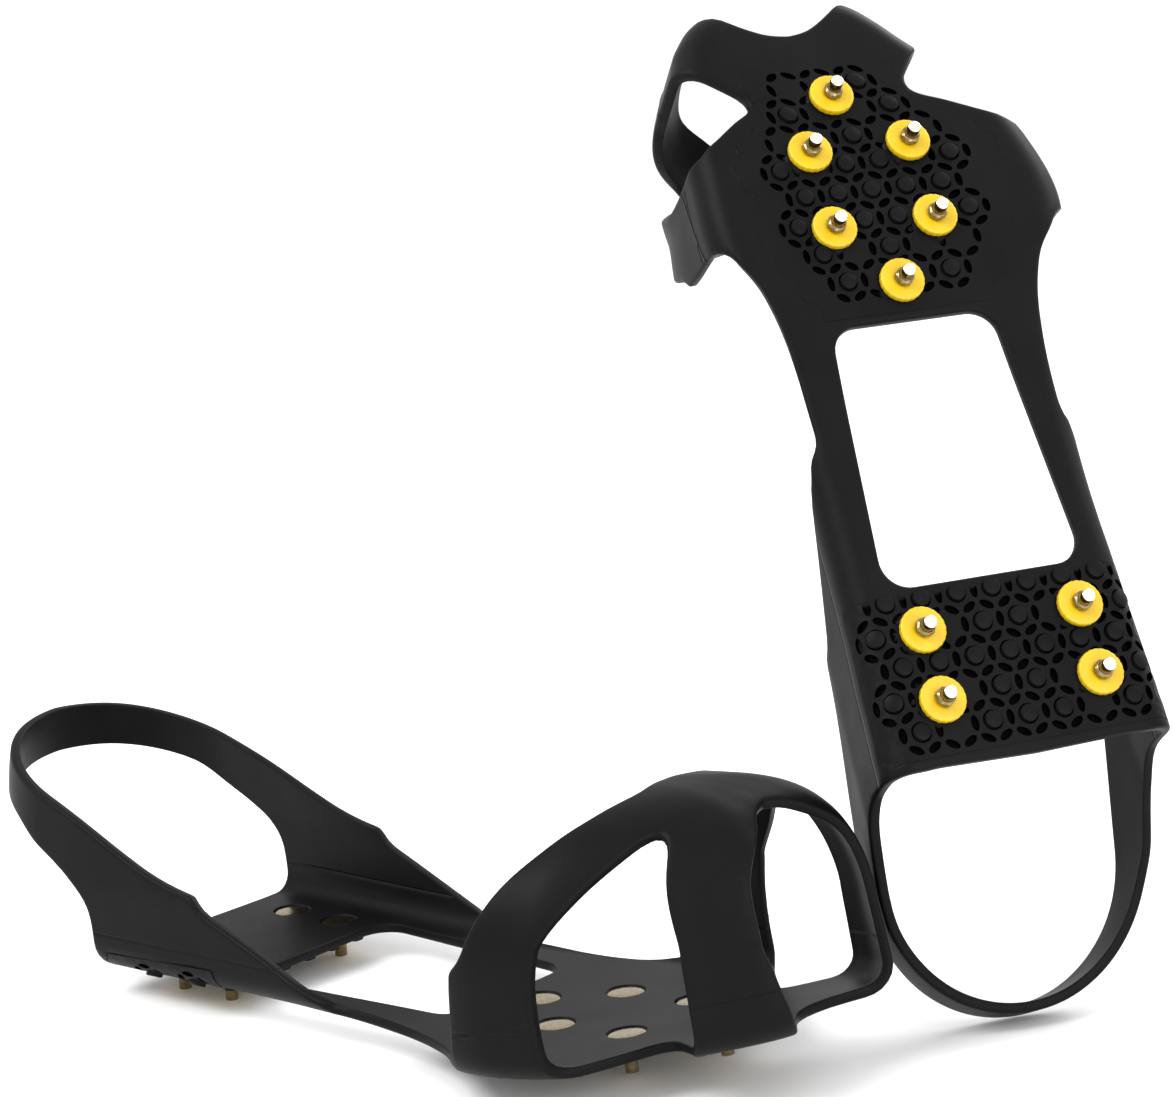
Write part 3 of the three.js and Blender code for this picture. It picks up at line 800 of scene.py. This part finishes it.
def tile_shape(pitted):
    """A six-sided tile of the tread: half a pit in each pitted side and a round hole with room for a knob."""
    turn = np.linspace(0, 2 * QUARTER, 7)

    def outline(grow, height):
        points = []
        for side, angle in enumerate(SIDE_ANGLES):
            out = np.array((math.cos(angle), math.sin(angle)))
            along = np.array((-out[1], out[0]))
            middle = out * TREAD_PITCH / 2
            points.append(middle - along * TREAD_PITCH / (2 * math.sqrt(3)))
            points += [middle - along * (PIT_HALF_LENGTH + grow) * math.cos(t)
                       - out * (PIT_HALF_WIDTH + grow) * math.sin(t) * pitted[side] for t in turn]
        return np.column_stack([points, np.full(len(points), height)])

    def hole(radius, height):
        flat = outline(0, 0)[:, :2]
        flat = flat / np.linalg.norm(flat, axis=1)[:, None] * radius
        return np.column_stack([flat, np.full(len(flat), height)])

    bevel_foot = TILE_TOP - TILE_BEVEL_DEPTH
    outside = [outline(0, TREAD_FOOT), outline(0, bevel_foot), outline(TILE_BEVEL, TILE_TOP)]
    inside = [hole(MOAT_RADIUS + TILE_BEVEL, TILE_TOP), hole(MOAT_RADIUS, bevel_foot),
              hole(MOAT_RADIUS, TREAD_FOOT)]
    points, faces = ring_solid(outside + inside)
    walls_in_painted_shade = (0, 4)      # the bands of faces that are the walls of the pits and of the hole, which get painted shade
    in_painted_shade = [band in walls_in_painted_shade for band in range(6) for _ in range(len(faces) // 6)]
    return points * (TREAD_STRETCH, 1, 1), faces, in_painted_shade


def knob_shape(raised):
    """A knob of the tread, or where none is raised the plug that fills a tile's hole."""
    if raised:
        profile = [(0, TREAD_FOOT), (KNOB_RADIUS + 0.1, TREAD_FOOT), (KNOB_RADIUS, KNOB_TOP - 0.3),
                   (KNOB_RADIUS - 0.1, KNOB_TOP - 0.1), (KNOB_RADIUS - 0.35, KNOB_TOP), (0, KNOB_TOP)]
    else:
        profile = [(0, TREAD_FOOT), (PLUG_RADIUS, TREAD_FOOT), (PLUG_RADIUS, PLUG_TOP), (0, PLUG_TOP)]
    points, faces = lathe(profile, 20)
    return np.array(points), faces, [False] * len(faces)


def grid_points(middle):
    """The tread's triangular grid, with rows across the sole, around a point on the sole's centre line."""
    return [(middle + i * TREAD_ROW, (j + (i % 2) / 2) * TREAD_PITCH)
            for i in range(-6, 7) for j in range(-6, 7)]


def pitted_sides(x, y, region):
    """Which sides of the tile at a grid point have pits: all of a knob's tile, else those next to one."""
    sides = []
    for angle in SIDE_ANGLES:
        beside = x + TREAD_PITCH * TREAD_STRETCH * math.cos(angle), y + TREAD_PITCH * math.sin(angle)
        sides.append(region(x, y) or region(*beside))
    return sides


def in_fields(x, along):
    """How far each point of the sole is inside the tiled fields, from the nearest tile that isn't there."""
    inside = np.full(len(x), -FAR)
    for middle, region, low, high, reach in TREAD_FIELDS:
        best = np.minimum(np.minimum(x - low, high - x), np.interp(x, *reach) - np.abs(along))
        for tile_x, tile_y in grid_points(middle):
            if any(pitted_sides(tile_x, tile_y, region)):
                continue
            dx, dy = (x - tile_x) / TREAD_STRETCH, along - tile_y
            turned = [np.abs(dx * math.cos(a) + dy * math.sin(a)) for a in SIDE_ANGLES[:3]]
            best = np.minimum(best, np.max(turned, axis=0) - TREAD_PITCH / 2)
        inside = np.maximum(inside, best)
    return inside


def onto_sole(flat, toe_sway):
    """Takes points given as x, distance along the sole from its middle and height onto the sole's face."""
    x, along, height = flat.T
    side = np.sign(along)
    reach = half_width(np.minimum(x, TOE_AXIS))
    past = np.maximum(np.abs(along) - (reach - SOLE_EDGE_RADIUS), 0)
    angle = np.minimum(past / (SOLE_EDGE_RADIUS + THICKNESS), QUARTER)
    radius = SOLE_EDGE_RADIUS + THICKNESS + height
    straight = np.minimum(np.abs(along), reach - SOLE_EDGE_RADIUS)
    y = side * (straight + radius * np.sin(angle))
    return shape_to_shoe(np.column_stack([x, y, SOLE_EDGE_RADIUS - radius * np.cos(angle)]), toe_sway)


def tread(name, field, studs, matrix, toe_sway):
    """The tiles of one field, with a knob in each that isn't at its border or under a disc.

    The border's tiles have only the half pits that complete those of the tiles beside them.
    """
    middle, region, low, high, reach = field
    points, faces, in_painted_shade = [], [], []

    def add(shape, x, y):
        first = sum(len(p) for p in points)
        moved = shape[0] + (x, y, 0)
        moved[:, 0] = np.clip(moved[:, 0], low, high)
        limit = np.interp(moved[:, 0], *reach)
        moved[:, 1] = np.clip(moved[:, 1], -limit, limit)
        points.append(moved)
        faces.extend([[first + i for i in face] for face in shape[1]])
        in_painted_shade.extend(shape[2])

    for x, y in grid_points(middle):
        sides = pitted_sides(x, y, region)
        if any(sides) and low - TILE_ROOM < x < high + TILE_ROOM:
            add(tile_shape(sides), x, y)
            clear = min(math.hypot(x - sx, y - sy) for sx, sy in studs) > DISC_ROOM
            add(knob_shape(clear and region(x, y)), x, y)
    flat = np.concatenate(points)
    made = new_object(name, onto_sole(flat, toe_sway), [f[::-1] for f in faces], matrix, RUBBER_AND_PAINTED_SHADE, in_painted_shade=in_painted_shade)
    made.data.set_sharp_from_angle(angle=math.radians(30))
    return made


# ---------- one cleat ----------
def make_cleat(side, seat, heel_seat, toe_sway):
    """One cleat: its net as three pieces, its tread and its studs. The toe sways towards the other foot."""
    mounts = {m["name"]: m for m in frame["record"]["mounts"]}
    matrix = cleat_matrix(mounts[seat], mounts[heel_seat])
    places = [stud_place(f"{side}_disc_{i}", matrix) for i in range(1, 11)]
    studs = [(np.array(middle), np.array(axis)) for middle, axis in places]
    skin = rubber_skin(toe_sway, studs)
    middle = skin.position[skin.triangles].mean(1)
    at_toe = middle[:, 0] > SPRING_START
    high = middle[:, 2] > np.where(at_toe, TOE_STRAP_ROOT, HEEL_SIDE_ROOT)

    def piece(name, mask, nodes):
        points, triangles, cuts, in_painted_shade = solid_of(skin.keep(mask), toe_sway, studs)
        made = new_object(f"{side}_{name}", points, triangles.tolist(), matrix, RUBBER_AND_PAINTED_SHADE, cuts, in_painted_shade)
        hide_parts(*[f"{side}_{node}" for node in nodes])
        return made

    def place(x, y, z):
        return matrix @ (Vector((x, y, z)) * MM)

    sole = piece("moulded_sole", ~high, ["forefoot_sole", "heel_sole", "inner_rail", "outer_rail"])
    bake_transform(sole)
    straps = piece("moulded_toe_straps", high & at_toe,
                   ["toe_saddle", "inner_toe_straps", "outer_toe_straps"])
    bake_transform(straps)
    heel = piece("moulded_heel_strap", high & ~at_toe,
                 ["heel_strap", "inner_heel_side", "outer_heel_side"])
    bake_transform(heel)

    flat = [(p[0], p[1]) for p, _ in studs]
    for body, field in zip(("forefoot", "heel"), TREAD_FIELDS):
        made = tread(f"{side}_{body}_tread", field, flat, matrix, toe_sway)
        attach(made, f"{side}_{body}")
    for number, stud in enumerate(studs, 1):
        place_stud(side, number, f"{side}_forefoot" if number <= 6 else f"{side}_heel", stud, matrix)


# ---------- camera, light and floor ----------
CAMERA_TARGET = Vector((0.0109, 0.0283, 0.1244))
CAMERA_DISTANCE = 0.9
CAMERA_TURN = math.radians(40.03)
CAMERA_RISE = math.radians(11.13)
CAMERA_ROLL = math.radians(-3.32)
CAMERA_LENS = 98.13
LIT_PLACE = (0, 0.06, 0.12)
FLOOR_REACH = 6


def set_camera():
    data = bpy.data.cameras.new("camera")
    camera = bpy.data.objects.new("camera", data)
    bpy.context.scene.collection.objects.link(camera)
    level = math.cos(CAMERA_RISE)
    back = Vector((math.sin(CAMERA_TURN) * level, -math.cos(CAMERA_TURN) * level, math.sin(CAMERA_RISE)))
    data.sensor_width = 36
    data.lens = CAMERA_LENS
    camera.location = CAMERA_TARGET + back * CAMERA_DISTANCE
    camera.rotation_mode = "QUATERNION"
    roll = Euler((0, 0, CAMERA_ROLL)).to_quaternion()
    camera.rotation_quaternion = (-back).to_track_quat("-Z", "Y") @ roll
    bpy.context.scene.camera = camera


def area_light(name, place, size, power):
    data = bpy.data.lights.new(name, "AREA")
    data.shape = "RECTANGLE"
    data.size, data.size_y = size
    data.energy = power
    light = bpy.data.objects.new(name, data)
    bpy.context.scene.collection.objects.link(light)
    light.location = place
    light.rotation_euler = (Vector(LIT_PLACE) - Vector(place)).to_track_quat("-Z", "Y").to_euler()


def set_stage(floor_height):
    """A white room, a pale floor and three soft lights."""
    bpy.context.scene.view_settings.view_transform = "Standard"
    world = bpy.data.worlds.new("studio")
    world.use_nodes = True
    world.node_tree.nodes["Background"].inputs["Color"].default_value = (1, 1, 1, 1)
    world.node_tree.nodes["Background"].inputs["Strength"].default_value = 1.12
    bpy.context.scene.world = world
    made, add, link, shader = material("pale_floor")
    clouds = textured(add, link, "ShaderNodeTexNoise", 6)
    link(two_colours(add, link, clouds.outputs["Fac"], (0.9, 0.9, 0.9), (0.93, 0.93, 0.93)),
         shader.inputs["Base Color"])
    shader.inputs["Roughness"].default_value = 0.8
    mesh = bpy.data.meshes.new("floor")
    corners = [(-1, -1), (1, -1), (1, 1), (-1, 1)]
    mesh.from_pydata([(x * FLOOR_REACH, y * FLOOR_REACH, floor_height) for x, y in corners], [],
                     [(0, 1, 2, 3)])
    mesh.materials.append(made)
    floor = bpy.data.objects.new("floor", mesh)
    bpy.context.scene.collection.objects.link(floor)
    area_light("key", (-0.5, -1.1, 1.5), (1.2, 0.9), 26)
    area_light("fill", (1.6, -0.5, 0.7), (1.0, 1.2), 12)
    area_light("rim", (0.2, 1.4, 1.1), (1.4, 0.7), 14)


set_camera()
set_stage(cad_box[0].z)
make_cleat("right", "shoe_seat", "right_heel_seat", toe_sway=11)
make_cleat("left", "left_shoe_seat", "left_heel_seat", toe_sway=-8)
